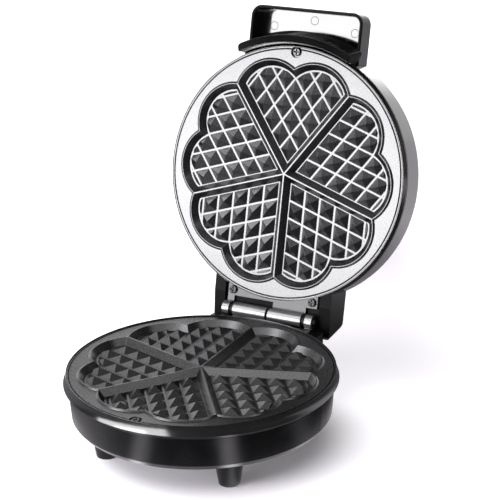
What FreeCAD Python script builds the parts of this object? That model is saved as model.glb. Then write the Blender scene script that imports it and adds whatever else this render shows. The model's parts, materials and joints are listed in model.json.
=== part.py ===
import FreeCAD, Part
import math
import os

from FreeCAD import Vector

# A round waffle maker with five hearts, standing open. Millimetres.
# While it is built, z = 0 is the crest of the lower plate, the plate's axis is x = y = 0,
# the front is -Y, and the lid is closed. The lid is opened and all is set on its feet at the end.

# Heart plates
hearts = 5
lobe_pitch_radius = 61.0
lobe_radius = 31.2
cavity_depth = 5.0
cavity_flank = 4.2
crest_width = 1.2
bead_height = 1.2
bead_flank = 1.3
pyramid_pitch = 13.45
pyramid_valley = 1.7
pyramid_apex_drop = 1.0
pyramid_rows = 6
ring_width = 9.2
plate_edge_groove = 0.9
plate_edge_lip = 1.1
plate_flange = 3.0
plate_floor = 4.0
plate_gap = 1.0

# Casings
casing_wall = 2.2
ledge_width = 4.8
bezel_rise = 0.9
bezel_lip = 0.3
bezel_width = 2.4
bezel_hollow = 0.2
bezel_edge_drop = 7.6
bezel_edge = 0.5
bezel_height = 11.0
drum_step = 3.7
drum_height = 22.0
drum_taper = 1.5
cover_depth = 4.0
cover_draft = 3.2
lid_rim_width = 2.2
lid_side_height = 28.0
lid_height = 42.0
lid_rim_flat = 0.3
lid_rim_drop = 3.8
lid_seam_rise = 4.4
lid_seam_width = 0.9
lid_seam_depth = 0.5
lid_shoulder_radius = 9.0

# Feet
front_foot_inset = 23.0
front_foot_angle = 43.0
rear_foot_spacing = 72.0
foot_top_radius = 11.5
foot_bottom_radius = 8.0
foot_height = 23.0
foot_sole_round = 1.2
foot_screw_depth = 13.8
foot_screw_radius = 2.0
foot_head_radius = 3.8
foot_post_radius = 4.8
foot_post_height = 13.0

# Hinge
hinge_setback = 12.8
hinge_level = -1.0
open_angle = 104.3
knuckle_radius = 6.0
leaf_thickness = 2.0
pin_radius = 2.5
pin_head = 1.2
hinge_half_width = 40.0
middle_gap = 2.0
end_knuckle = 6.0
spacer_width = 3.6
spacer_radius = 4.8
bracket_slot = 4.3
bracket_screw_edge = 4.9
bracket_screw_inset = 4.7
leaf_screw_inset = 7.0
leaf_screw_edge = 5.1
neck_half_width = 50.0
neck_past_hinge = 2.5
neck_corner = 8.0
hinge_cover_half_width = 52.0
hinge_cover_past_hinge = 16.5
hinge_cover_lean = 8.0
hinge_cover_slope = 8.6
hinge_cover_height = 30.0
hinge_cover_round = 7.0
hinge_cover_wall = 2.6

# Handle
handle_half_width = 49.0
handle_reach = 28.5
handle_tuck = 16.0
handle_low = 13.0
handle_high = 33.0
handle_wall = 2.8
handle_corner = 9.0
handle_edge_round = 3.0
handle_rim_round = 1.3
handle_boss = 12.0
handle_screw_inset = 19.0
handle_screw_rise = 5.0
handle_screw_length = 8.0
skirt_half_angle = 27.0
skirt_drop = 6.0
skirt_face = 6.2
skirt_rise = 1.6
skirt_flare = 3.6
skirt_end_round = 3.0

# Heating, wiring and fixings
element_circle = 62.0
element_radius = 3.3
element_gap_angle = 20.0
element_seat_depth = 2.0
element_leg = 7.0
reflector_sheet = 0.8
reflector_depth = 11.0
reflector_draft = 6.6
reflector_hole = 40.0
thermostat_radius = 9.0
thermostat_height = 6.0
thermostat_cap = 3.6
blade_length = 3.6
blade_width = 5.0
blade_sheet = 0.8
blade_spacing = 8.0
fuse_radius = 2.0
fuse_length = 16.0
fuse_place = 24.0
strap_width = 6.0
strap_foot = 4.0
strap_sheet = 1.0
terminal_length = 36.0
terminal_width = 16.0
terminal_height = 12.0
terminal_place = 40.0
terminal_ways = 3
terminal_way_radius = 3.0
terminal_way_depth = 5.0
cord_bush_radius = 5.0
cord_bush_bore = 3.2
cord_bush_collar = 1.1
cord_rise = 7.5
plate_screw_inset = 3.7
screw_seat_room = 1.2
screw_head_radius = 3.4
screw_head_height = 1.8
screw_shank_radius = 1.6
screw_slot_width = 1.1
screw_slot_reach = 2.3
screw_slot_depth = 1.6
bracket_screw_length = 8.0
lens_radius = 4.0
lens_spacing = 16.0
lens_place = 62.0
lens_proud = 1.0

# Clearances
plate_clearance = 0.3
seat_clearance = 0.1
pin_clearance = 0.05
knuckle_clearance = 0.2
swing_clearance = 0.4
skirt_clearance = 0.6
cut_over = 1.0
cut_through = 400.0
same_level = 1e-6
upright_lean = 0.8
dome_share = 0.75

# Places worked out from the sizes above
ring_level = -bead_height
flange_level = ring_level - plate_flange
body_level = -cavity_depth - plate_floor
plate_body_radius = lobe_pitch_radius + lobe_radius - crest_width
plate_radius = lobe_pitch_radius + lobe_radius + ring_width
plate_screw_circle = plate_radius - plate_screw_inset
ridge_foot = crest_width / 2 + cavity_flank
element_level = body_level - element_radius + element_seat_depth
pyramid_sink = cavity_depth / 10
recess_radius = plate_radius + plate_clearance
ledge_radius = recess_radius - ledge_width
ledge_low = flange_level - casing_wall
bezel_radius = recess_radius + bezel_width
drum_top = -bezel_height
drum_low = drum_top - drum_height
drum_top_radius = bezel_radius - drum_step
drum_low_radius = drum_top_radius - drum_taper
bezel_wall = drum_top_radius - casing_wall
cover_low = drum_low - cover_depth
floor_level = cover_low - foot_height
front_foot_circle = drum_low_radius - front_foot_inset
foot_screw_seat = floor_level + foot_screw_depth
screw_bore_radius = screw_shank_radius + seat_clearance
foot_bore_radius = foot_screw_radius + seat_clearance
lid_radius = recess_radius + lid_rim_width
lid_rim_level = plate_gap - ring_level - bezel_lip
hinge_back = recess_radius + hinge_setback
leaf_top = hinge_level - knuckle_radius + leaf_thickness
leaf_low = leaf_top - leaf_thickness
bracket_low = hinge_level + knuckle_radius - leaf_thickness
bracket_high = bracket_low + leaf_thickness
bracket_back = hinge_back - knuckle_radius - bracket_slot
bracket_screw_x = hinge_half_width - bracket_screw_inset
bracket_screw_y = bracket_back - bracket_screw_edge
inner_knuckle = hinge_half_width - end_knuckle - spacer_width
leaf_screw_x = hinge_half_width - leaf_screw_inset
leaf_back = hinge_back - knuckle_radius - swing_clearance
leaf_screw_y = leaf_back - leaf_screw_edge
neck_back = hinge_back + neck_past_hinge
rear_foot_y = neck_back - neck_corner - foot_top_radius
cord_level = drum_low + cord_rise
handle_front = lid_radius + handle_reach
handle_back = lid_radius - handle_tuck
handle_screw_x = handle_half_width - handle_screw_inset
handle_screw_level = handle_low + handle_screw_rise

origin = Vector(0, 0, 0)
x_axis = Vector(1, 0, 0)
y_axis = Vector(0, 1, 0)
z_axis = Vector(0, 0, 1)
hinge_point = Vector(0, hinge_back, hinge_level)


def upright(radius, low, high, x=0.0, y=0.0):
    return Part.makeCylinder(radius, high - low, Vector(x, y, low), z_axis)


def frustum(low_radius, high_radius, low, high, x=0.0, y=0.0):
    if abs(low_radius - high_radius) < same_level:
        return upright(low_radius, low, high, x, y)
    return Part.makeCone(low_radius, high_radius, high - low, Vector(x, y, low), z_axis)


def block(x_low, x_high, y_low, y_high, z_low, z_high):
    corner = Vector(x_low, y_low, z_low)
    return Part.makeBox(x_high - x_low, y_high - y_low, z_high - z_low, corner)


def along_x(radius, x_low, x_high, y=None, z=None):
    """A round bar along X, on the hinge's axis unless a place is given."""
    at = Vector(x_low, hinge_back if y is None else y, hinge_level if z is None else z)
    return Part.makeCylinder(radius, x_high - x_low, at, x_axis)


def along_y(radius, length, start):
    return Part.makeCylinder(radius, length, start, y_axis)


def flat_face(points):
    return Part.Face(Part.makePolygon([*points, points[0]]))


def turned(profile):
    """The solid that a closed list of (radius, height) points sweeps about the plate's axis."""
    return flat_face([Vector(r, 0, z) for r, z in profile]).revolve(origin, z_axis, 360)


def at_angle(shape, degrees):
    copy = shape.copy()
    copy.rotate(origin, z_axis, degrees)
    return copy


def joined(shapes):
    return shapes[0].multiFuse(shapes[1:]).removeSplitter()


def both_sides(make):
    """Two copies of a piece, made for the left and the right side."""
    return [make(side) for side in (-1, 1)]


def upright_edges(shape):
    return [e for e in shape.Edges if abs(e.tangentAt(e.FirstParameter).z) > upright_lean]


def turned_over(shape):
    """A lower piece as the matching upper piece: turned over about Y and raised by the gap."""
    copy = shape.copy()
    copy.rotate(origin, y_axis, 180)
    copy.translate(Vector(0, 0, plate_gap))
    return copy


def opened(shape):
    copy = shape.copy()
    copy.rotate(hinge_point, x_axis, -open_angle)
    return copy


def polar(radius, degrees):
    """A point in plan, with degrees counted from the front."""
    turn = math.radians(degrees - 90.0)
    return Vector(radius * math.cos(turn), radius * math.sin(turn), 0)


# Heart plates

def flower(low_radius, high_radius, low, high):
    """The outline of all hearts, two lobes to a heart, as one solid with sloping sides."""
    step = 180.0 / hearts
    centres = [polar(lobe_pitch_radius, step * (k + 0.5)) for k in range(2 * hearts)]
    cones = [frustum(low_radius, high_radius, low, high, c.x, c.y) for c in centres]
    middle = flat_face([c + Vector(0, 0, low) for c in centres]).extrude(Vector(0, 0, high - low))
    return joined([middle, *cones])


def heart_wedge(low_side, high_side, low, high):
    """The sector between two ridges, whose faces lie low_side and high_side off their centrelines."""
    half = 180.0 / hearts

    def outline(side, level):
        tip = polar(side / math.sin(math.radians(half)), 0) + Vector(0, 0, level)
        ends = [tip + polar(2 * plate_radius, turn) for turn in (-half, half)]
        return Part.makePolygon([tip, *ends, tip])

    return Part.makeLoft([outline(low_side, low), outline(high_side, high)], True, True)


def pyramid(row, column):
    """One rhombic pyramid of a heart's floor, its sides parallel to the heart's two ridges."""
    half = 180.0 / hearts
    along_left = polar(1, -half)
    along_right = polar(1, half)
    first = (ridge_foot + pyramid_pitch / 2) / math.sin(math.radians(half))
    pitch_along = pyramid_pitch / math.sin(math.radians(2 * half))
    centre = polar(first, 0) + (along_left * row + along_right * column) * pitch_along
    height = cavity_depth - pyramid_apex_drop
    side = (pyramid_pitch - pyramid_valley) / math.sin(math.radians(2 * half))
    side = side * (height + pyramid_sink) / height
    apex = centre - Vector(0, 0, pyramid_apex_drop)
    foot = centre - Vector(0, 0, cavity_depth + pyramid_sink)
    left = along_left * (side / 2)
    right = along_right * (side / 2)
    corners = [foot + left + right, foot + left - right, foot - left - right, foot - left + right]
    sides = [flat_face([a, b, apex]) for a, b in zip(corners, corners[1:] + corners[:1])]
    return Part.Solid(Part.Shell([flat_face(corners), *sides]))


def heart_pocket():
    """What is cut from the plate for one heart: its cavity, less the pyramids that stand in it."""
    over = pyramid_sink * cavity_flank / cavity_depth
    floor_radius = lobe_radius - cavity_flank
    outline = flower(floor_radius, lobe_radius + over, -cavity_depth, pyramid_sink)
    wedge = heart_wedge(ridge_foot, crest_width / 2 - over, -cavity_depth, pyramid_sink)
    rows = range(pyramid_rows)
    reach = floor_radius - pyramid_valley
    floor = flower(reach, reach, -2 * cavity_depth, 0)
    stand = []
    for row in rows:
        for column in rows:
            stand.extend(pyramid(row, column).common(floor).Solids)
    return outline.common(wedge).cut(stand)


def heart_plate():
    lip = plate_radius - plate_edge_lip
    groove = lip - plate_edge_groove
    groove_level = ring_level - plate_edge_groove
    disc = turned([
        (0, ring_level), (groove, ring_level), (groove, groove_level), (lip, groove_level),
        (lip, ring_level), (plate_radius, ring_level), (plate_radius, flange_level),
        (plate_body_radius, flange_level), (plate_body_radius, body_level), (0, body_level),
    ])
    crest = lobe_radius + crest_width / 2
    plate = disc.fuse(flower(crest + bead_flank, crest, ring_level, 0))
    heart = heart_pocket()
    pockets = [at_angle(heart, 360.0 / hearts * k) for k in range(hearts)]
    y = -plate_screw_circle
    seat = upright(screw_head_radius + screw_seat_room, ring_level - screw_head_height, cut_over, 0, y)
    hole = upright(screw_bore_radius, flange_level - cut_over, 0, 0, y)
    groove = element_run(element_radius + seat_clearance)
    return plate.cut([*pockets, seat, hole, groove]).removeSplitter()


def element_run(radius):
    """The heating element's round run with its ball ends, for a tube of this radius."""
    sweep = 360.0 - element_gap_angle
    level = Vector(0, 0, element_level)
    ring = Part.makeTorus(element_circle, radius, level, z_axis, -180, 180, sweep)
    pieces = [at_angle(ring, 90 + element_gap_angle / 2)]
    for end in element_ends():
        pieces.append(Part.makeSphere(radius, end + level))
    return joined(pieces)


def element_ends():
    return [polar(element_circle, 180 + side * element_gap_angle / 2) for side in (-1, 1)]


def heating_element():
    pieces = [element_run(element_radius)]
    for end in element_ends():
        pieces.append(upright(element_radius, element_level - element_leg, element_level, end.x, end.y))
    return joined(pieces)


def reflector():
    rim = bezel_wall - seat_clearance
    shoulder = ledge_radius - seat_clearance
    low = ledge_low - reflector_depth
    inner = shoulder - reflector_draft
    sheet = reflector_sheet
    return turned([
        (rim, ledge_low), (shoulder, ledge_low), (inner, low), (reflector_hole, low),
        (reflector_hole, low - sheet), (inner + sheet, low - sheet),
        (shoulder + sheet, ledge_low - sheet), (rim, ledge_low - sheet),
    ])


def cross_screw(top, length, x, y):
    """A cross-head screw that hangs down from the level of its domed head's top."""
    head = upright(screw_head_radius, top - screw_head_height, top, x, y)
    rim = [e for e in head.Edges if abs(e.CenterOfMass.z - top) < same_level]
    head = head.makeFillet(screw_head_height / 2, rim)
    shank = upright(screw_shank_radius, top - length, top - screw_head_height / 2, x, y)
    half = screw_slot_width / 2
    deep = top - screw_slot_depth
    high = top + cut_over
    slots = [
        block(x - screw_slot_reach, x + screw_slot_reach, y - half, y + half, deep, high),
        block(x - half, x + half, y - screw_slot_reach, y + screw_slot_reach, deep, high),
    ]
    return joined([head, shank]).cut(slots)


def plate_screw():
    return cross_screw(ring_level, plate_flange + casing_wall, 0, -plate_screw_circle)


# Base

def base_bezel():
    top = ring_level + bezel_rise
    crown = Vector(recess_radius + bezel_lip, 0, top)
    edge = Vector(bezel_radius, 0, -bezel_edge_drop)
    hollow = Vector(bezel_hollow, 0, bezel_hollow)
    inside = [
        Vector(ledge_radius, 0, ledge_low), Vector(ledge_radius, 0, flange_level),
        Vector(recess_radius, 0, flange_level), Vector(recess_radius, 0, top - bezel_lip), crown,
    ]
    below = [
        edge, Vector(bezel_radius - bezel_edge, 0, edge.z - bezel_edge),
        Vector(drum_top_radius, 0, drum_top), Vector(bezel_wall, 0, drum_top),
        Vector(bezel_wall, 0, ledge_low), Vector(ledge_radius, 0, ledge_low),
    ]
    shoulder = Part.Arc(crown, (crown + edge) * 0.5 - hollow, edge).toShape()
    edges = [*Part.makePolygon(inside).Edges, shoulder, *Part.makePolygon(below).Edges]
    ring = Part.Face(Part.Wire(edges)).revolve(origin, z_axis, 360)
    half = neck_half_width + plate_clearance
    leaf_pass = block(-half, half, 0, cut_through, drum_top - cut_over, leaf_top + swing_clearance)
    leaf_pass = leaf_pass.cut(upright(recess_radius + seat_clearance, drum_top - 2 * cut_over, 0))
    hole = upright(screw_bore_radius, ledge_low - cut_over, 0, 0, -plate_screw_circle)
    return ring.cut([leaf_pass, hole])


def foot_places():
    """Where the feet stand. The rear pair is under the neck, so that the open lid doesn't tip the base."""
    rear_x = rear_foot_spacing / 2
    return {
        "front_left": polar(front_foot_circle, -front_foot_angle),
        "front_right": polar(front_foot_circle, front_foot_angle),
        "rear_left": Vector(-rear_x, rear_foot_y, 0),
        "rear_right": Vector(rear_x, rear_foot_y, 0),
    }


def drum_wall():
    return turned([
        (drum_top_radius - casing_wall, drum_top), (drum_top_radius, drum_top),
        (drum_low_radius, drum_low), (drum_low_radius - casing_wall, drum_low),
    ])


def inside_drum(low, high):
    """The room inside the drum wall, between two levels."""
    slope = drum_taper / drum_height
    inner = drum_top_radius - casing_wall
    low_radius = inner - slope * (drum_top - low)
    high_radius = inner - slope * (drum_top - high)
    return frustum(low_radius, high_radius, low, high)


def neck(grow, low, high):
    """The block behind the drum that carries the hinge, grown outwards by grow."""
    half = neck_half_width + grow
    body = block(-half, half, 0, neck_back + grow, low, high)
    corners = [e for e in upright_edges(body) if e.CenterOfMass.y > neck_corner]
    return body.makeFillet(neck_corner + grow, corners)


def screw_post(place):
    """A post that takes a foot's screw, held by a rib from the drum wall."""
    high = drum_low + foot_post_height
    post = upright(foot_post_radius, drum_low, high, place.x, place.y)
    half = casing_wall / 2
    near, far = sorted((place.Length, drum_low_radius - half))
    rib = block(near, far, -half, half, drum_low, high)
    outward = math.degrees(math.atan2(place.y, place.x))
    bore = upright(foot_bore_radius, drum_low - cut_over, high - casing_wall, place.x, place.y)
    return post.fuse(at_angle(rib, outward)).cut(bore)


def base_shell():
    room = neck(-casing_wall, drum_low - cut_over, leaf_low - casing_wall)
    under_bezel = upright(recess_radius + plate_clearance, drum_top, 0)
    tower = neck(0, drum_low, leaf_low).cut([room, under_bezel, inside_drum(drum_low, drum_top)])
    posts = [screw_post(place) for place in foot_places().values()]
    start = Vector(0, neck_back - 2 * casing_wall, cord_level)
    cord_hole = along_y(cord_bush_radius, 3 * casing_wall, start)
    leaf_holes = both_sides(lambda side: upright(
        screw_bore_radius, leaf_low - 2 * casing_wall, 0, side * leaf_screw_x, leaf_screw_y))
    return joined([drum_wall(), tower, *posts]).cut([cord_hole, *leaf_holes])


def bottom_cover():
    low_radius = drum_low_radius - cover_draft
    floor = cover_low + casing_wall
    dish = frustum(low_radius, drum_low_radius, cover_low, drum_low)
    room = frustum(low_radius - casing_wall, drum_low_radius - 2 * casing_wall, floor, drum_low)
    tail = neck(0, cover_low, drum_low)
    tail_room = neck(-2 * casing_wall, floor, drum_low)
    pan = dish.fuse(tail).cut([room, tail_room])
    places = foot_places().values()
    bosses = [upright(foot_post_radius, cover_low, drum_low, p.x, p.y) for p in places]
    low = cover_low - cut_over
    holes = [upright(foot_bore_radius, low, drum_low + cut_over, p.x, p.y) for p in places]
    return joined([pan, *bosses]).cut(holes)


def foot(place):
    body = frustum(foot_bottom_radius, foot_top_radius, floor_level, cover_low, place.x, place.y)
    sole = [e for e in body.Edges if abs(e.CenterOfMass.z - floor_level) < same_level]
    body = body.makeFillet(foot_sole_round, sole)
    head_room = upright(foot_head_radius + plate_clearance, floor_level - cut_over, foot_screw_seat,
                        place.x, place.y)
    hole = upright(foot_bore_radius, floor_level, cover_low + cut_over, place.x, place.y)
    return body.cut([head_room, hole])


def foot_screw(place):
    low = foot_screw_seat - screw_head_height
    head = upright(foot_head_radius, low, foot_screw_seat, place.x, place.y)
    tip = drum_low + foot_post_height - 2 * casing_wall
    return head.fuse(upright(foot_screw_radius, foot_screw_seat, tip, place.x, place.y))


def cord_inlet():
    """A collared bush in the neck's rear wall."""
    sleeve = along_y(cord_bush_radius - seat_clearance, casing_wall,
                     Vector(0, neck_back - casing_wall, cord_level))
    collar_radius = cord_bush_radius + cord_bush_collar
    collar = along_y(collar_radius, cord_bush_collar, Vector(0, neck_back, cord_level))
    bore = along_y(cord_bush_bore, cut_through, Vector(0, 0, cord_level))
    return sleeve.fuse(collar).cut(bore).removeSplitter()


def thermostat():
    """A disc thermostat against the underside of the plate, with two blades."""
    cap_high = body_level - thermostat_height
    cap_low = cap_high - thermostat_cap
    can = upright(thermostat_radius, cap_high, body_level)
    cap = upright(thermostat_radius - thermostat_cap / 2, cap_low, cap_high)
    half = blade_width / 2
    blades = both_sides(lambda side: block(
        side * blade_spacing / 2 - blade_sheet / 2, side * blade_spacing / 2 + blade_sheet / 2,
        -half, half, cap_low - blade_length, cap_low))
    return joined([can, cap, *blades])


def thermal_fuse():
    """A fuse held against the plate by a strap with a foot on each side."""
    level = body_level - fuse_radius - seat_clearance
    body = along_x(fuse_radius, -fuse_length / 2, fuse_length / 2, fuse_place, level)
    half = strap_width / 2
    grip = fuse_radius + seat_clearance
    reach = grip + strap_foot
    strap = block(-half, half, fuse_place - reach, fuse_place + reach,
                  level - fuse_radius - strap_sheet, body_level)
    tunnel = block(-strap_width, strap_width, fuse_place - grip, fuse_place + grip, level, body_level)
    return body.fuse(strap.cut(tunnel)).removeSplitter()


def terminal_block():
    """Supply terminals on the floor of the bottom cover."""
    low = cover_low + casing_wall
    high = low + terminal_height
    half = terminal_length / 2
    body = block(-half, half, terminal_place, terminal_place + terminal_width, low, high)
    pitch = terminal_length / terminal_ways
    middle = terminal_place + terminal_width / 2
    ways = [
        upright(terminal_way_radius, high - terminal_way_depth, high + cut_over,
                (k + 0.5) * pitch - half, middle)
        for k in range(terminal_ways)
    ]
    return body.cut(ways)


# Hinge

def knuckle_spans():
    """Where each knuckle lies along the pin, from left to right."""
    ends = hinge_half_width - end_knuckle
    return {
        "left_end": (-hinge_half_width, -ends),
        "left": (-inner_knuckle, -middle_gap / 2),
        "right": (middle_gap / 2, inner_knuckle),
        "right_end": (ends, hinge_half_width),
    }


def rolled_leaf(sheet, names, y_low, z_low):
    """A sheet whose arms, at the named places along the pin, are rolled round it into knuckles."""
    pieces = [sheet]
    for name in names:
        x_low, x_high = knuckle_spans()[name]
        pieces.append(block(x_low, x_high, y_low, hinge_back, z_low, z_low + leaf_thickness))
        pieces.append(along_x(knuckle_radius, x_low, x_high))
    bore = along_x(pin_radius + pin_clearance, -2 * hinge_half_width, 2 * hinge_half_width)
    return joined(pieces).cut(bore)


def lower_hinge_leaf():
    half = hinge_half_width
    drum = upright(recess_radius + 2 * plate_clearance, leaf_low - cut_over, leaf_top + cut_over)
    sheet = block(-half, half, 0, leaf_back, leaf_low, leaf_top).cut(drum)
    leaf = rolled_leaf(sheet, ("left", "right_end"), leaf_back - leaf_thickness, leaf_low)
    return leaf.cut(both_sides(countersink))


def countersink(side):
    x = side * leaf_screw_x
    return frustum(screw_shank_radius, screw_head_radius, leaf_low, leaf_top, x, leaf_screw_y)


def lower_hinge_screw(side):
    """A countersunk screw, flush with the leaf, into the neck's roof."""
    shank = upright(screw_shank_radius, leaf_low - casing_wall, leaf_low, side * leaf_screw_x, leaf_screw_y)
    return countersink(side).fuse(shank)


def upper_hinge_leaf():
    half = hinge_half_width
    plate_edge = upright(recess_radius + plate_clearance, 0, bracket_high + cut_over)
    sheet = block(-half, half, 0, bracket_back, bracket_low, bracket_high).cut(plate_edge)
    leaf = rolled_leaf(sheet, ("left_end", "right"), bracket_back - leaf_thickness, bracket_low)
    return leaf.cut(both_sides(lambda side: upright(
        screw_bore_radius, 0, bracket_high + cut_over, side * bracket_screw_x, bracket_screw_y)))


def upper_hinge_screw(side):
    screw = cross_screw(0, bracket_screw_length, side * bracket_screw_x, -bracket_screw_y)
    screw.rotate(origin, x_axis, 180)
    screw.translate(Vector(0, 0, bracket_low - screw_head_height))
    return screw


def hinge_pin():
    half = hinge_half_width + knuckle_clearance
    pin = along_x(pin_radius, -half, half + pin_head)
    head = along_x(pin_radius + pin_head, -half - pin_head, -half)
    return pin.fuse(head)


def hinge_spacer(side):
    middle = side * (inner_knuckle + spacer_width / 2)
    half = spacer_width / 2 - knuckle_clearance
    ring = along_x(spacer_radius, middle - half, middle + half)
    return ring.cut(along_x(pin_radius + pin_clearance, middle - spacer_width, middle + spacer_width))


# Lid

def lid_outline(grow):
    """The lid's outside as a solid of revolution, grown by grow."""
    radius = lid_radius + grow
    bend = lid_shoulder_radius + grow
    side_top = plate_gap + lid_side_height
    crown = plate_gap + lid_height + grow
    rim_edge = Vector(radius - lid_rim_width + lid_rim_flat, 0, lid_rim_level)
    side_start = Vector(radius, 0, lid_rim_level + lid_rim_drop)
    side_end = Vector(radius, 0, side_top)
    centre = Vector(radius - bend, 0, side_top)
    bend_mid = centre + Vector(bend, 0, bend) * math.sqrt(0.5)
    dome_edge = centre + Vector(0, 0, bend)
    dome_mid = Vector(dome_edge.x / 2, 0, dome_edge.z + dome_share * (crown - dome_edge.z))
    low_centre = Vector(0, 0, lid_rim_level)
    top_centre = Vector(0, 0, crown)
    edges = [
        Part.makeLine(low_centre, rim_edge), Part.makeLine(rim_edge, side_start),
        Part.makeLine(side_start, side_end),
        Part.Arc(side_end, bend_mid, dome_edge).toShape(),
        Part.Arc(dome_edge, dome_mid, top_centre).toShape(), Part.makeLine(top_centre, low_centre),
    ]
    return Part.Face(Part.Wire(edges)).revolve(origin, z_axis, 360)


def lid_shell():
    ledge_top = plate_gap - ledge_low
    room = lid_outline(-casing_wall).common(upright(lid_radius, ledge_top, cut_through))
    recess = upright(recess_radius, 0, plate_gap - flange_level)
    opening = upright(ledge_radius, 0, ledge_top + cut_over)
    half = hinge_half_width + plate_clearance
    bracket_pass = block(-half, half, 0, cut_through, 0, bracket_high)
    bracket_pass = bracket_pass.cut(upright(recess_radius, 0, bracket_high))
    plate_hole = upright(screw_bore_radius, 0, ledge_top + cut_over, 0, -plate_screw_circle)
    lens_holes = both_sides(lambda side: upright(
        lens_radius, ledge_top, cut_through, side * lens_spacing / 2, -lens_place))
    screw_holes = both_sides(lambda side: along_y(
        screw_bore_radius, lid_radius, Vector(side * handle_screw_x, -lid_radius, handle_screw_level)))
    bracket_holes = both_sides(lambda side: upright(
        screw_shank_radius + plate_clearance, 0, bracket_high + bracket_screw_length,
        side * bracket_screw_x, bracket_screw_y))
    cuts = [room, recess, opening, bracket_pass, plate_hole, lid_seam()]
    return lid_outline(0).cut([*cuts, *bracket_holes, *lens_holes, *screw_holes])


def lid_seam():
    """The parting groove round the lid, a little above its rim."""
    low = lid_rim_level + lid_seam_rise
    high = low + lid_seam_width
    inner = lid_radius - lid_seam_depth
    outer = lid_radius + cut_over
    return turned([(inner, low), (outer, low), (outer, high), (inner, high)])


def lens(side):
    """A pilot lens that fills its hole in the lid and stands a little proud."""
    stem = upright(lens_radius - seat_clearance, 0, cut_through, side * lens_spacing / 2, -lens_place)
    return stem.common(lid_outline(lens_proud)).cut(lid_outline(-casing_wall))


def hinge_cover():
    """The moulded cover behind the hinge, with a pocket for the barrel between its two cheeks."""
    half = hinge_cover_half_width
    bend = hinge_back - hinge_setback
    back = hinge_back + hinge_cover_past_hinge
    front = lid_rim_level
    back_front = front + (back - bend) * math.tan(math.radians(hinge_cover_slope))
    top = plate_gap + hinge_cover_height
    inside = lid_radius / 2
    outline = [
        (inside, front), (bend, front), (back, back_front), (back - hinge_cover_lean, top), (inside, top),
    ]
    side = flat_face([Vector(-half, y, z) for y, z in outline])
    body = side.extrude(Vector(2 * half, 0, 0))
    rounds = [e for e in body.Edges if e.CenterOfMass.y > back - hinge_cover_lean - cut_over]
    body = body.makeFillet(hinge_cover_round, rounds)
    pocket_half = hinge_half_width + 2 * pin_head
    pocket = block(-pocket_half, pocket_half, 0, cut_through, 0, bracket_high + swing_clearance)
    bracket_seat = block(-pocket_half, pocket_half, 0, bracket_back, bracket_high, bracket_high + cut_over)
    wall = hinge_cover_wall
    room = block(wall - half, half - wall, inside, back - hinge_cover_lean - wall,
                 bracket_high + swing_clearance + wall, top - wall)
    body = body.cut([pocket.cut(bracket_seat), room])
    bosses = both_sides(lambda side: upright(
        2 * screw_shank_radius, bracket_high, top - wall / 2, side * bracket_screw_x, bracket_screw_y))
    bore_top = bracket_high + bracket_screw_length
    bores = both_sides(lambda side: upright(
        screw_bore_radius, 0, bore_top, side * bracket_screw_x, bracket_screw_y))
    return joined([body, *bosses]).cut([lid_outline(seat_clearance), *bores])


def tray(shrink, low, high):
    """The handle's outline in plan, shrunk by shrink, between two levels."""
    half = handle_half_width - shrink
    body = block(-half, half, shrink - handle_front, -handle_back, plate_gap + low, plate_gap + high)
    corners = [e for e in upright_edges(body) if e.CenterOfMass.y < -lid_radius]
    return body.makeFillet(handle_corner - shrink, corners)


def handle_boss_rib(side):
    """A boss for a handle screw, hung from the tray's roof by a rib."""
    x = side * handle_screw_x
    start = Vector(x, -lid_radius - handle_boss / 2, handle_screw_level)
    half = casing_wall / 2
    roof = plate_gap + handle_high - handle_wall / 2
    rib = block(x - half, x + half, start.y, start.y + handle_boss, start.z, roof)
    boss = along_y(2 * screw_shank_radius, handle_boss, start)
    bore = along_y(screw_bore_radius, handle_boss, start + y_axis * (casing_wall / 2))
    return boss.fuse(rib).cut(bore)


def handle():
    body = tray(0, handle_low, handle_high)
    high = plate_gap + handle_high
    top_rim = [e for e in body.Edges if abs(e.BoundBox.ZMin - high) < same_level]
    front_rim = [e for e in top_rim if e.CenterOfMass.y < -handle_back - cut_over]
    body = body.makeFillet(handle_edge_round, front_rim)
    room = tray(handle_wall, handle_low - cut_over, handle_high - handle_wall)
    body = body.cut(room)
    low = plate_gap + handle_low
    rim = [e for e in body.Edges if abs(e.BoundBox.ZMax - low) < same_level]
    rim = [e for e in rim if e.CenterOfMass.y < -handle_back - cut_over]
    body = joined([body.makeFillet(handle_rim_round, rim), *both_sides(handle_boss_rib)])
    return body.cut(lid_outline(seat_clearance))


def handle_skirt():
    """The crescent under the handle, which hangs past the lid's rim clear of the bezel."""
    top = plate_gap + handle_low
    low = plate_gap - skirt_drop
    clear = bezel_radius + skirt_clearance
    against = lid_radius + seat_clearance
    profile = flat_face([
        Vector(clear, 0, low), Vector(clear + skirt_face, 0, low + skirt_rise),
        Vector(clear + skirt_face + skirt_flare, 0, top), Vector(against, 0, top),
        Vector(against, 0, lid_rim_level), Vector(clear, 0, lid_rim_level),
    ])
    crescent = at_angle(profile.revolve(origin, z_axis, 2 * skirt_half_angle), -90 - skirt_half_angle)
    ends = []
    for edge in upright_edges(crescent):
        if math.hypot(edge.CenterOfMass.x, edge.CenterOfMass.y) > clear + cut_over:
            ends.append(edge)
    return crescent.makeFillet(skirt_end_round, ends)


def handle_screw(side):
    start = Vector(side * handle_screw_x, -lid_radius - handle_screw_length / 2, handle_screw_level)
    return along_y(screw_shank_radius, handle_screw_length, start)


# All pieces

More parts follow.
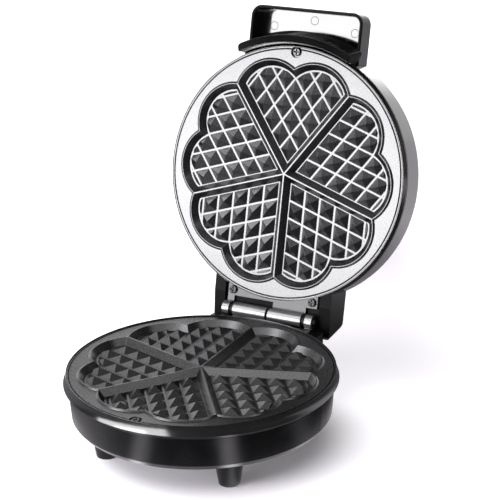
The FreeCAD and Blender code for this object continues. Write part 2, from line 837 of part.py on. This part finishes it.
def base_pieces():
    places = foot_places()
    pieces = {
        "base_bezel": base_bezel(),
        "base_shell": base_shell(),
        "bottom_cover": bottom_cover(),
        "foot_screws": Part.makeCompound([foot_screw(place) for place in places.values()]),
        "lower_plate": heart_plate(),
        "lower_plate_screw": plate_screw(),
        "lower_element": heating_element(),
        "lower_reflector": reflector(),
        "thermostat": thermostat(),
        "thermal_fuse": thermal_fuse(),
        "terminal_block": terminal_block(),
        "cord_inlet": cord_inlet(),
        "lower_hinge_leaf": lower_hinge_leaf(),
        "lower_hinge_screws": Part.makeCompound(both_sides(lower_hinge_screw)),
        "hinge_pin": hinge_pin(),
        "hinge_spacers": Part.makeCompound(both_sides(hinge_spacer)),
    }
    for name, place in places.items():
        pieces["foot_" + name] = foot(place)
    return pieces


def lid_pieces(base):
    pieces = {
        "lid_shell": lid_shell(),
        "upper_hinge_leaf": upper_hinge_leaf(),
        "upper_hinge_screws": Part.makeCompound(both_sides(upper_hinge_screw)),
        "hinge_cover": hinge_cover(),
        "handle": handle(),
        "handle_skirt": handle_skirt(),
        "handle_screws": Part.makeCompound(both_sides(handle_screw)),
        "power_lens": lens(-1),
        "ready_lens": lens(1),
    }
    for name in ("plate", "plate_screw", "element", "reflector"):
        pieces["upper_" + name] = turned_over(base["lower_" + name])
    return pieces


def main():
    os.makedirs("parts", exist_ok=True)
    pieces = base_pieces()
    pieces.update({name: opened(shape) for name, shape in lid_pieces(pieces).items()})
    box = Part.makeCompound(list(pieces.values())).optimalBoundingBox(False)
    stand = Vector(0, -(box.YMin + box.YMax) / 2, -floor_level)
    for name, shape in pieces.items():
        shape.translate(stand)
        shape.exportStep("parts/" + name + ".step")
        print(name, len(shape.Solids), shape.isValid(), round(shape.Volume, 1))
    print("moved by", stand, "hinge at", hinge_point + stand)


main()
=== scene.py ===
import json
import math

import bpy
from mathutils import Matrix, Vector


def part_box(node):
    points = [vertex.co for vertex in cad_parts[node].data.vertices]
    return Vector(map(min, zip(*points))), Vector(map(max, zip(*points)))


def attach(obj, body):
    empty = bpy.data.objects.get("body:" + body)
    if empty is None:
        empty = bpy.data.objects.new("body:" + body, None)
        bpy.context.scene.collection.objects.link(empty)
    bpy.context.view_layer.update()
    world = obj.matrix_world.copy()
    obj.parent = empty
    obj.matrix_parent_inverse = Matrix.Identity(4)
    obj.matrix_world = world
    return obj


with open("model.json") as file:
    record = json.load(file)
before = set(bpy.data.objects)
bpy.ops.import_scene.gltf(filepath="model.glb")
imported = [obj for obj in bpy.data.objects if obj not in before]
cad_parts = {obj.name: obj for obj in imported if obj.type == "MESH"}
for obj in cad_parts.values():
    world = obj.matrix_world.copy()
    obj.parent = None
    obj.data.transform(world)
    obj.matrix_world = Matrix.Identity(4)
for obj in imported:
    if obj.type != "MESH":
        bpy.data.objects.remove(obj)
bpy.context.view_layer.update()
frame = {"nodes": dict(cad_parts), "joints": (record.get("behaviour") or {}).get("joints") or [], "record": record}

nodes = frame["nodes"]
scene = bpy.context.scene
scene.view_settings.view_transform = "Standard"
print("frame loaded:", len(nodes), "nodes")


# Finishes
noiseLook = {
    "broadDetail": 4.0, "fineDetail": 2.0,
    "colourFrom": (0.35, 0.65), "roughFrom": (0.3, 0.7),
}
edgeLook = {"samples": 6}
# painted shade in hollows: samples, the occlusion over which it fades out, and its near-black colour
hollowShadeLook = {"samples": 8, "clearFrom": (0.35, 0.7), "colour": (0.004, 0.004, 0.004, 1)}
evenStretch = (1, 1, 1)
fadeIn, fadeOut = (0, 1), (1, 0)


def newMaterial(name):
    mat = bpy.data.materials.new(name)
    mat.use_nodes = True
    tree = mat.node_tree
    shader = tree.nodes["Principled BSDF"]
    return mat, tree, shader


def setSockets(shader, values):
    for socket, value in values.items():
        shader.inputs[socket].default_value = value


def objectNoise(tree, scale, detail, stretch):
    coord = tree.nodes.new("ShaderNodeTexCoord")
    mapping = tree.nodes.new("ShaderNodeMapping")
    mapping.inputs["Scale"].default_value = stretch
    noise = tree.nodes.new("ShaderNodeTexNoise")
    noise.inputs["Scale"].default_value = scale
    noise.inputs["Detail"].default_value = detail
    tree.links.new(coord.outputs["Object"], mapping.inputs["Vector"])
    tree.links.new(mapping.outputs["Vector"], noise.inputs["Vector"])
    return noise.outputs["Fac"]


def remap(tree, source, fromRange, toRange, kind="LINEAR"):
    node = tree.nodes.new("ShaderNodeMapRange")
    node.interpolation_type = kind
    sockets = ("From Min", "From Max", "To Min", "To Max")
    for socket, value in zip(sockets, (*fromRange, *toRange)):
        node.inputs[socket].default_value = value
    tree.links.new(source, node.inputs["Value"])
    return node.outputs["Result"]


def blendColours(tree, source, dark, light):
    ramp = tree.nodes.new("ShaderNodeValToRGB")
    for element, position, colour in zip(
            ramp.color_ramp.elements, noiseLook["colourFrom"], (dark, light)):
        element.position = position
        element.color = (*colour, 1)
    tree.links.new(source, ramp.inputs["Fac"])
    return ramp.outputs["Color"]


def addBump(tree, shader, source, height, edgeRound):
    bump = tree.nodes.new("ShaderNodeBump")
    bump.inputs["Distance"].default_value = height
    bump.inputs["Strength"].default_value = 1.0
    tree.links.new(source, bump.inputs["Height"])
    if edgeRound > 0:
        soft = tree.nodes.new("ShaderNodeBevel")
        soft.samples = edgeLook["samples"]
        soft.inputs["Radius"].default_value = edgeRound
        tree.links.new(soft.outputs["Normal"], bump.inputs["Normal"])
    tree.links.new(bump.outputs["Normal"], shader.inputs["Normal"])


# Painted shade: ambient occlusion darkens the colour towards near black in slots, recesses and hollows
def paintHollowShade(tree, colour, reach):
    hollow = tree.nodes.new("ShaderNodeAmbientOcclusion")
    hollow.samples = hollowShadeLook["samples"]
    hollow.inputs["Distance"].default_value = reach
    mix = tree.nodes.new("ShaderNodeMix")
    mix.data_type = "RGBA"
    mix.inputs["A"].default_value = hollowShadeLook["colour"]
    clear = remap(tree, hollow.outputs["AO"], hollowShadeLook["clearFrom"], fadeIn)
    tree.links.new(clear, mix.inputs["Factor"])
    tree.links.new(colour, mix.inputs["B"])
    return mix.outputs["Result"]


def finish(name, look):
    mat, tree, shader = newMaterial(name)
    setSockets(shader, look["sockets"])
    stretch = look.get("stretch", evenStretch)
    broad = objectNoise(tree, look["broadScale"], noiseLook["broadDetail"], stretch)
    colour = blendColours(tree, broad, look["dark"], look["light"])
    if "hollowShadeReach" in look:
        colour = paintHollowShade(tree, colour, look["hollowShadeReach"])
    tree.links.new(colour, shader.inputs["Base Color"])
    rough = remap(tree, broad, noiseLook["roughFrom"], look["roughness"])
    tree.links.new(rough, shader.inputs["Roughness"])
    fine = objectNoise(tree, look["grainScale"], noiseLook["fineDetail"], stretch)
    addBump(tree, shader, fine, look["grainHeight"], look.get("edgeRound", 0.0))
    return mat


glossBlackLook = {
    "sockets": {"Specular IOR Level": 0.9, "Coat Weight": 1.0, "Coat Roughness": 0.13},
    "dark": (0.004, 0.004, 0.0045), "light": (0.006, 0.006, 0.0065),
    "roughness": (0.12, 0.18), "broadScale": 40, "grainScale": 900, "grainHeight": 0.000004,
    "edgeRound": 0.0004,
}
skirtLook = dict(
    glossBlackLook, roughness=(0.05, 0.09), edgeRound=0.0009,
    sockets={"Specular IOR Level": 0.5, "Coat Weight": 1.0, "Coat Roughness": 0.04})
satinBlackLook = {
    "sockets": {"Specular IOR Level": 0.34},
    "dark": (0.004, 0.004, 0.0045), "light": (0.006, 0.006, 0.0065),
    "roughness": (0.20, 0.28), "broadScale": 60, "grainScale": 2200, "grainHeight": 0.000012,
    "edgeRound": 0.0006,
}
handleLook = {
    "sockets": {
        "Specular IOR Level": 0.9, "Coat Weight": 1.0, "Coat Roughness": 0.08, "Coat IOR": 1.75},
    "dark": (0.004, 0.004, 0.0045), "light": (0.006, 0.006, 0.0065),
    "roughness": (0.12, 0.17), "broadScale": 60, "grainScale": 1400, "grainHeight": 0.000004,
    "edgeRound": 0.0006,
}
knuckleLook = {
    "reach": 0.0068, "sockets": {"Metallic": 1.0, "Anisotropic": 0.3},
    "dark": (0.30, 0.295, 0.305), "light": (0.40, 0.395, 0.405),
    "roughness": (0.34, 0.44), "broadScale": 500, "grainScale": 1800, "grainHeight": 0.000005,
    "stretch": (0.08, 1, 1), "edgeRound": 0.0004,
}
dullBlackLook = {
    "sockets": {"Specular IOR Level": 0.1},
    "dark": (0.003, 0.003, 0.003), "light": (0.005, 0.005, 0.005),
    "roughness": (0.45, 0.6), "broadScale": 80, "grainScale": 1800, "grainHeight": 0.00001,
}
plateLook = {
    "sockets": {"Metallic": 1.0},
    "dark": (0.107, 0.106, 0.109), "light": (0.146, 0.144, 0.149),
    "roughness": (0.25, 0.33), "broadScale": 1300, "grainScale": 2600, "grainHeight": 0.000020,
    "edgeRound": 0.0005,
}
hingeSteelLook = {
    "sockets": {"Metallic": 1.0, "Anisotropic": 0.3},
    "dark": (0.120, 0.119, 0.123), "light": (0.165, 0.163, 0.169),
    "roughness": (0.46, 0.56), "broadScale": 400, "grainScale": 1800, "grainHeight": 0.000006,
    "stretch": (0.08, 1, 1), "edgeRound": 0.0004,
}
screwSteelLook = {
    "sockets": {"Metallic": 1.0},
    "dark": (0.16, 0.16, 0.16), "light": (0.24, 0.24, 0.24),
    "roughness": (0.25, 0.4), "broadScale": 500, "grainScale": 2500, "grainHeight": 0.000006,
    # painted shade darkens the slots within this reach
    "edgeRound": 0.0003, "hollowShadeReach": 0.0008,
}
# deeper painted shade for the plate screws, which also rings each head in its counterbore
plateScrewLook = dict(screwSteelLook, dark=(0.09,) * 3, light=(0.14,) * 3, hollowShadeReach=0.0022)
darkScrewLook = dict(screwSteelLook, dark=(0.035,) * 3, light=(0.06,) * 3)
footLook = {
    "sockets": {"Specular IOR Level": 0.22},
    "dark": (0.004, 0.004, 0.0045), "light": (0.007, 0.007, 0.0075),
    "roughness": (0.38, 0.5), "broadScale": 80, "grainScale": 2000, "grainHeight": 0.000015,
    "edgeRound": 0.0006,
}
elementLook = {
    "sockets": {"Metallic": 1.0},
    "dark": (0.28, 0.27, 0.26), "light": (0.42, 0.41, 0.40),
    "roughness": (0.3, 0.5), "broadScale": 90, "grainScale": 1500, "grainHeight": 0.00001,
}
reflectorLook = {
    "sockets": {"Metallic": 1.0},
    "dark": (0.62, 0.62, 0.63), "light": (0.74, 0.74, 0.75),
    "roughness": (0.18, 0.3), "broadScale": 50, "grainScale": 900, "grainHeight": 0.00001,
}
ceramicLook = {
    "sockets": {"Specular IOR Level": 0.45},
    "dark": (0.60, 0.56, 0.48), "light": (0.72, 0.69, 0.61),
    "roughness": (0.4, 0.6), "broadScale": 120, "grainScale": 1500, "grainHeight": 0.00001,
}
lensSockets = {"Specular IOR Level": 0.6, "Coat Weight": 1.0, "Coat Roughness": 0.04}
redLensLook = {
    "sockets": lensSockets,
    "dark": (0.36, 0.012, 0.010), "light": (0.48, 0.02, 0.015),
    "roughness": (0.08, 0.14), "broadScale": 200, "grainScale": 1200, "grainHeight": 0.000006,
    "edgeRound": 0.0004,
}
greenLensLook = dict(redLensLook, dark=(0.02, 0.26, 0.05), light=(0.035, 0.36, 0.07))

finishes = {
    "gloss_black": finish("glossBlackMoulding", glossBlackLook),
    "satin_black": finish("satinBlackMoulding", satinBlackLook),
    "plate_coating": finish("nonStickCoating", plateLook),
    "hinge_steel": finish("rolledHingeSteel", hingeSteelLook),
    "screw_steel": finish("platedScrewSteel", screwSteelLook),
    "spacer_black": finish("spacerMoulding", footLook),
    "foot_black": finish("footMoulding", footLook),
    "element_steel": finish("elementTube", elementLook),
    "reflector_metal": finish("reflectorSheet", reflectorLook),
    "control_plastic": finish("controlCeramic", ceramicLook),
    "bush_black": finish("cordBush", footLook),
    "lens_red": finish("redLens", redLensLook),
    "lens_green": finish("greenLens", greenLensLook),
    "handleFloor": finish("handleFloorGloss", handleLook),
    "knuckle": finish("polishedKnuckle", knuckleLook),
    "dullBlack": finish("dullBlackMouldingAndGrooveShade", dullBlackLook),
    "skirtGloss": finish("skirtGloss", skirtLook),
    "plateScrew": finish("plateScrewSteel", plateScrewLook),
    "darkScrew": finish("blackenedScrew", darkScrewLook),
}
slotOf = {s["node"]: s["material_slot"] for s in frame["record"]["subparts"]}


def dress(node, finishName):
    mesh = nodes[node].data
    mesh.materials.clear()
    mesh.materials.append(finishes[finishName])
    for face in mesh.polygons:
        face.material_index = 0


for nodeName, slotName in slotOf.items():
    dress(nodeName, slotName)

# Faces of a node with a finish of their own
lidHinge = frame["joints"][0]
hingePlace = Vector(lidHinge["pos_m"])
openTurn = math.radians(lidHinge["range_deg"][1])
lidFacing = Vector((0, -math.sin(openTurn), -math.cos(openTurn)))
lidUp = Vector((0, -math.cos(openTurn), math.sin(openTurn)))
baseFacing = Vector((0, 0, 1))
faceLook = {"flat": 0.99, "front": 0.97, "end": 0.6, "floorSlack": 0.001}  # cosines, then metres
# the groove at each plate's edge, painted dark as shade: radii and least depth in metres
grooveShadeLook = {"inner": 0.0989, "outer": 0.1005, "leastDepth": 0.0001}


def dressFaces(node, finishName, chosen):
    mesh = nodes[node].data
    mesh.materials.append(finishes[finishName])
    for face in mesh.polygons:
        if chosen(face):
            face.material_index = len(mesh.materials) - 1


def middleOf(node):
    low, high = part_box(node)
    return low.lerp(high, 0.5)


def isFlat(face):
    return face.normal.dot(lidFacing) > faceLook["flat"]


floorDepth = min(f.center.dot(lidFacing) for f in nodes["handle"].data.polygons if isFlat(f))


def inFloor(face):
    return isFlat(face) and face.center.dot(lidFacing) < floorDepth + faceLook["floorSlack"]


def inKnuckle(face):
    arm = face.center - hingePlace
    return math.hypot(arm.y, arm.z) < knuckleLook["reach"]


def inFront(face):
    return face.normal.dot(lidFacing) > faceLook["front"]


def inEnd(face):
    return abs(face.normal.x) > faceLook["end"]


def grooveShadeTest(node, facing):
    middle = middleOf(node)
    inner, outer = grooveShadeLook["inner"], grooveShadeLook["outer"]

    def radius(face):
        arm = face.center - middle
        return (arm - facing * arm.dot(facing)).length

    def level(face):
        return face.center.dot(facing)

    rim = max(level(f) for f in nodes[node].data.polygons if radius(f) > outer)
    floor = rim - grooveShadeLook["leastDepth"]
    return lambda f: inner < radius(f) < outer and level(f) < floor


dressFaces("handle", "dullBlack", inFront)
dressFaces("handle", "handleFloor", inFloor)
for leaf in ("upper_hinge_leaf", "lower_hinge_leaf"):
    dressFaces(leaf, "knuckle", inKnuckle)
dressFaces("hinge_cover", "dullBlack", inFront)
# Painted shade: the groove faces round each plate's edge take the dull black finish, a dark line standing in for
# the shade in the gap there
dressFaces("upper_plate", "dullBlack", grooveShadeTest("upper_plate", lidFacing))
dressFaces("lower_plate", "dullBlack", grooveShadeTest("lower_plate", baseFacing))
dress("upper_hinge_screws", "darkScrew")
dress("handle_skirt", "skirtGloss")
dressFaces("handle_skirt", "dullBlack", inEnd)
for screw in ("upper_plate_screw", "lower_plate_screw"):
    dress(screw, "plateScrew")
print("materials set on", len(slotOf), "nodes")

# Faint round marks that the mould leaves in the handle
markLook = {
    "places": ((-0.0355, 0.231), (0.0, 0.238), (0.0362, 0.231)),  # across, and up from the hinge
    "radius": 0.0033, "halfWidth": 0.0003, "height": 0.00016, "sink": 0.00006, "turns": 48,
    "shoulderOut": 0.5, "shoulderRise": 0.8,  # shares of the half width and the height
}


def mouldMarks():
    corners, faces = [], []
    height, sink, turns = markLook["height"], markLook["sink"], markLook["turns"]
    shoulder = markLook["shoulderOut"]
    shoulderHeight = height * markLook["shoulderRise"]
    profile = (
        (-1.0, -sink), (-shoulder, shoulderHeight), (0.0, height),
        (shoulder, shoulderHeight), (1.0, -sink))
    across = len(profile)
    hingeFoot = hingePlace - lidFacing * hingePlace.dot(lidFacing) + lidFacing * floorDepth
    for side, rise in markLook["places"]:
        middle = hingeFoot + lidUp * rise
        first = len(corners)
        for step in range(turns):
            turn = 2 * math.pi * step / turns
            out = Vector((math.cos(turn), 0, 0)) + lidUp * math.sin(turn)
            for offset, lift in profile:
                radius = markLook["radius"] + offset * markLook["halfWidth"]
                corners.append(middle + Vector((side, 0, 0)) + out * radius + lidFacing * lift)
        for step in range(turns):
            here, there = first + step * across, first + (step + 1) % turns * across
            for k in range(across):
                j = (k + 1) % across
                faces.append((here + k, there + k, there + j, here + j))
    mesh = bpy.data.meshes.new("handleMarks")
    mesh.from_pydata(corners, [], faces)
    mesh.polygons.foreach_set("use_smooth", [True] * len(faces))
    mesh.materials.append(finishes["handleFloor"])
    piece = bpy.data.objects.new("handleMarks", mesh)
    scene.collection.objects.link(piece)
    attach(piece, "lid")


mouldMarks()
print("handle marks made")

# Floor, world and lamps
lidMiddle = middleOf("upper_plate")
baseMiddle = middleOf("lower_plate")


def combine(tree, operation, first, *others):
    for other in others:
        node = tree.nodes.new("ShaderNodeMath")
        node.operation = operation
        for socket, source in zip(node.inputs, (first, other)):
            if isinstance(source, (int, float)):
                socket.default_value = source
            else:
                tree.links.new(source, socket)
        first = node.outputs[0]
    return first


def ease(tree, source, fromRange, toRange):
    return remap(tree, source, fromRange, toRange, "SMOOTHSTEP")


def splitVector(tree, source):
    split = tree.nodes.new("ShaderNodeSeparateXYZ")
    tree.links.new(source, split.inputs["Vector"])
    return [split.outputs[axis] for axis in "XYZ"]


def floorPlace(tree):
    geometry = tree.nodes.new("ShaderNodeNewGeometry")
    return splitVector(tree, geometry.outputs["Position"])[:2]


def distance(tree, across, along):
    squares = [combine(tree, "MULTIPLY", length, length) for length in (across, along)]
    return combine(tree, "SQRT", combine(tree, "ADD", *squares), 0)


# The soft shade on the floor behind the base
shadeLook = {
    "azimuth": 27.235, "widen": 0.08,
    "leftEdge": (-0.02, 0.06), "rightEdge": (0.12, 0.19),
    "nearEdge": (0.0, 0.12), "farEdge": (0.3, 0.75),
    "deepen": (0.1, 0.45), "depth": (0.10, 0.75),
}


def backShade(tree, across, along):
    turn = math.radians(shadeLook["azimuth"])
    sideways = combine(
        tree, "ADD", combine(tree, "MULTIPLY", across, math.cos(turn)),
        combine(tree, "MULTIPLY", along, math.sin(turn)))
    onward = combine(
        tree, "SUBTRACT", combine(tree, "MULTIPLY", along, math.cos(turn)),
        combine(tree, "MULTIPLY", across, math.sin(turn)))
    widened = combine(tree, "MULTIPLY", onward, shadeLook["widen"])
    sideways = combine(tree, "SUBTRACT", sideways, widened)
    return combine(
        tree, "MULTIPLY",
        ease(tree, sideways, shadeLook["leftEdge"], fadeIn),
        ease(tree, sideways, shadeLook["rightEdge"], fadeOut),
        ease(tree, onward, shadeLook["nearEdge"], fadeIn),
        ease(tree, onward, shadeLook["farEdge"], fadeOut),
        ease(tree, onward, shadeLook["deepen"], shadeLook["depth"]))


# The glow that keeps the floor pale, lowered in a disc round the base to paint a shadow there
liftAndPaintedShadowLook = {
    "shift": (0.008, 0.008), "nearReach": (0.074, 0.118), "near": (0.12, 0.74),
    "farReach": (0.25, 0.8), "far": (0, 0.3),
}


def liftGlowWithPaintedShadow(tree):
    across, along = floorPlace(tree)
    shiftX, shiftY = liftAndPaintedShadowLook["shift"]
    reach = distance(
        tree, combine(tree, "SUBTRACT", across, baseMiddle.x + shiftX),
        combine(tree, "SUBTRACT", along, baseMiddle.y + shiftY))
    # painted shadow: close to the base the glow drops low
    near = ease(tree, reach, liftAndPaintedShadowLook["nearReach"], liftAndPaintedShadowLook["near"])
    far = ease(tree, reach, liftAndPaintedShadowLook["farReach"], liftAndPaintedShadowLook["far"])
    return combine(
        tree, "SUBTRACT", combine(tree, "ADD", near, far), backShade(tree, across, along))


# What the glossy faces see of the floor: a painted glow, brighter under the base, to the left and at the rear,
# that gives painted reflections
mirrorLook = {
    "colour": (0.98, 0.94, 1.0, 1), "base": 0.08,
    "nearReach": (0.4, 0.9), "near": (1, 0.1),
    "leftFrom": (-0.45, 0.0), "left": (0.2, 0), "rearFrom": (0.16, 0.38), "rear": (0, 0.75),
    "underReach": (0.115, 0.15), "under": (0.7, 0), "streakReach": (0.2, 0.34),
    # painted streaks of light that run out from the base and show only in reflections: degrees round it, half
    # width in degrees, strength
    "streaks": ((43.5, 8, 3.7), (-9, 9, 3.0), (94, 14, 0.4), (-48, 44, 0.55)),
}


def mirrorGlow(tree):
    across, along = floorPlace(tree)
    ahead = combine(tree, "SUBTRACT", baseMiddle.y, along)
    reach = distance(tree, across, ahead)
    near = ease(tree, reach, mirrorLook["nearReach"], mirrorLook["near"])
    left = combine(
        tree, "MULTIPLY", near, ease(tree, across, mirrorLook["leftFrom"], mirrorLook["left"]))
    rear = ease(tree, along, mirrorLook["rearFrom"], mirrorLook["rear"])
    # painted reflection: a bright patch under the base for the bottom cover to catch
    under = ease(tree, reach, mirrorLook["underReach"], mirrorLook["under"])
    glow = combine(
        tree, "ADD", combine(tree, "MAXIMUM", left, rear), mirrorLook["base"], under)
    turn = combine(tree, "ARCTAN2", across, ahead)
    close = ease(tree, reach, mirrorLook["streakReach"], fadeOut)
    for degrees, half, strength in mirrorLook["streaks"]:
        off = combine(tree, "SUBTRACT", turn, math.radians(degrees))
        off = combine(tree, "ABSOLUTE", off, 0)
        streak = ease(tree, off, (0, math.radians(half)), (strength, 0))
        glow = combine(tree, "ADD", glow, combine(tree, "MULTIPLY", close, streak))
    return glow


floorLook = {
    "half": 6.0,
    "sockets": {
        "Base Color": (0.79, 0.75, 0.82, 1), "Roughness": 0.6, "Specular IOR Level": 0.2,
        "Emission Color": (0.98, 0.955, 0.985, 1)},
}


def makeFloor():
    half = floorLook["half"]
    mesh = bpy.data.meshes.new("floor")
    corners = [(-half, -half, 0), (half, -half, 0), (half, half, 0), (-half, half, 0)]
    mesh.from_pydata(corners, [], [(0, 1, 2, 3)])
    floor = bpy.data.objects.new("floor", mesh)
    scene.collection.objects.link(floor)
    mat, tree, shader = newMaterial("paleFloor")
    setSockets(shader, floorLook["sockets"])
    path = tree.nodes.new("ShaderNodeLightPath")
    seen = combine(
        tree, "MAXIMUM", path.outputs["Is Camera Ray"], path.outputs["Is Transmission Ray"])
    lift = combine(tree, "MULTIPLY", seen, liftGlowWithPaintedShadow(tree))
    tree.links.new(lift, shader.inputs["Emission Strength"])
    mirror = tree.nodes.new("ShaderNodeEmission")
    mirror.inputs["Color"].default_value = mirrorLook["colour"]
    tree.links.new(mirrorGlow(tree), mirror.inputs["Strength"])
    pick = tree.nodes.new("ShaderNodeMixShader")
    tree.links.new(path.outputs["Is Glossy Ray"], pick.inputs["Fac"])
    tree.links.new(shader.outputs["BSDF"], pick.inputs[1])
    tree.links.new(mirror.outputs["Emission"], pick.inputs[2])
    tree.links.new(pick.outputs["Shader"], tree.nodes["Material Output"].inputs["Surface"])
    mesh.materials.append(mat)


# Strengths, and the spans of the direction's x, y and z between which they change
worldLook = {
    "colour": (1, 1, 1, 1), "above": 0.025, "dimUp": (0.10, 0.75),
    "rear": (0.09, 0.9), "rearBack": (0.2, 0.75),
    "left": (0.78, 0), "leftAcross": (-0.85, -0.5), "leftUp": (0.10, 0.24),
    "horizon": (0, 4.0), "horizonBack": (0.3, 0.8), "horizonUp": (0.06, 0.22),
    "horizonAcross": (-0.3, 0.1),
    "zenith": (0, 0.42), "zenithUp": (0.87, 0.985),
    "band": (5.05, 1.85), "bandAcross": (-0.5, -0.15), "bandLow": (0.65, 0.70),
    "bandHigh": (0.84, 0.88), "bandFront": (-0.22, -0.06), "bandTilt": 0.25,
}


def makeWorld():
    world = bpy.data.worlds.new("studio")
    world.use_nodes = True
    tree = world.node_tree
    coord = tree.nodes.new("ShaderNodeTexCoord")
    across, back, up = splitVector(tree, coord.outputs["Generated"])
    left = combine(
        tree, "MULTIPLY", ease(tree, across, worldLook["leftAcross"], worldLook["left"]),
        ease(tree, up, worldLook["leftUp"], fadeIn))
    level = combine(
        tree, "ADD", ease(tree, back, worldLook["rearBack"], worldLook["rear"]), left)
    walls = combine(tree, "MULTIPLY", level, ease(tree, up, worldLook["dimUp"], fadeOut))
    horizon = combine(
        tree, "MULTIPLY", ease(tree, back, worldLook["horizonBack"], worldLook["horizon"]),
        ease(tree, up, worldLook["horizonUp"], fadeOut),
        ease(tree, across, worldLook["horizonAcross"], fadeOut))
    zenith = ease(tree, up, worldLook["zenithUp"], worldLook["zenith"])
    rightward = combine(tree, "MAXIMUM", across, 0)
    tilt = combine(tree, "MULTIPLY", rightward, worldLook["bandTilt"])
    rise = combine(tree, "SUBTRACT", up, tilt)  # the band starts higher on the right
    band = combine(
        tree, "MULTIPLY", ease(tree, rise, worldLook["bandLow"], fadeIn),
        ease(tree, up, worldLook["bandHigh"], fadeOut),
        ease(tree, across, worldLook["bandAcross"], worldLook["band"]),
        ease(tree, back, worldLook["bandFront"], fadeOut))
    glow = combine(tree, "ADD", walls, worldLook["above"], horizon, zenith, band)
    tree.links.new(glow, tree.nodes["Background"].inputs["Strength"])
    tree.nodes["Background"].inputs["Color"].default_value = worldLook["colour"]
    scene.world = world


def direction(azimuth, elevation):
    turn, rise = math.radians(azimuth), math.radians(elevation)
    return Vector((
        math.sin(turn) * math.cos(rise), -math.cos(turn) * math.cos(rise), math.sin(rise)))


# Each lamp has a place, or an azimuth, an elevation and a distance from its aim
lampLook = {
    "keyBox": {
        "aim": lidMiddle, "angles": (-24.5, 12.5), "distance": 1.08,
        "size": (0.46, 0.46), "power": 4.6},
    "lowStrip": {
        "aim": baseMiddle, "angles": (-28, 11), "distance": 1.1,
        "size": (1.25, 0.42), "power": 9.3},
    "highBox": {
        "aim": baseMiddle, "angles": (-93, 45), "distance": 0.7,
        "size": (0.2, 0.14), "power": 0.17},
    "rightHighBox": {
        "aim": (-0.05, -0.08, 0.07), "place": (0.41, -0.105, 0.60),
        "size": (0.16, 0.10), "power": 0.13},
    "rearLeftBox": {
        "aim": baseMiddle, "angles": (-148, 29), "distance": 0.8,
        "size": (0.22, 0.16), "power": 0.15},
    "fillBox": {
        "aim": (0, 0, 0), "place": (-0.75, -0.25, 1.35),
        "size": (0.8, 0.8), "power": 10, "mirrored": False},
}


def softbox(name, look):
    lamp = bpy.data.lights.new(name, "AREA")
    lamp.shape = "RECTANGLE"
    lamp.size, lamp.size_y = look["size"]
    lamp.energy = look["power"]
    obj = bpy.data.objects.new(name, lamp)
    scene.collection.objects.link(obj)
    aim = Vector(look["aim"])
    if "place" in look:
        place = Vector(look["place"])
    else:
        place = aim + direction(*look["angles"]) * look["distance"]
    obj.location = place
    obj.visible_glossy = look.get("mirrored", True)
    obj.rotation_mode = "QUATERNION"
    obj.rotation_quaternion = (aim - place).to_track_quat("-Z", "Y")


makeFloor()
makeWorld()
for lampName, look in lampLook.items():
    softbox(lampName, look)
print("stage lit")

# Camera
cameraLook = {
    "azimuth": 27.235, "elevation": 20.337, "distance": 1.31432,
    "aimRight": 0.03824, "aimUp": 0.08709, "roll": -0.966, "lens": 125.68, "sensor": 36.0,
}


def makeCamera():
    azimuth, roll = math.radians(cameraLook["azimuth"]), math.radians(cameraLook["roll"])
    back = direction(cameraLook["azimuth"], cameraLook["elevation"])
    right = Vector((math.cos(azimuth), math.sin(azimuth), 0))
    up = back.cross(right)
    low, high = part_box("lower_plate")
    plateCrest = Vector(((low.x + high.x) / 2, (low.y + high.y) / 2, high.z))
    aim = plateCrest + right * cameraLook["aimRight"] + up * cameraLook["aimUp"]
    place = aim + back * cameraLook["distance"]
    rolledRight = right * math.cos(roll) + up * math.sin(roll)
    rolledUp = up * math.cos(roll) - right * math.sin(roll)
    turn = Matrix((rolledRight, rolledUp, back)).transposed()
    data = bpy.data.cameras.new("photoCamera")
    data.lens = cameraLook["lens"]
    data.sensor_width = cameraLook["sensor"]
    camera = bpy.data.objects.new("photoCamera", data)
    scene.collection.objects.link(camera)
    camera.matrix_world = Matrix.Translation(place) @ turn.to_4x4()
    scene.camera = camera


makeCamera()
print("camera set")
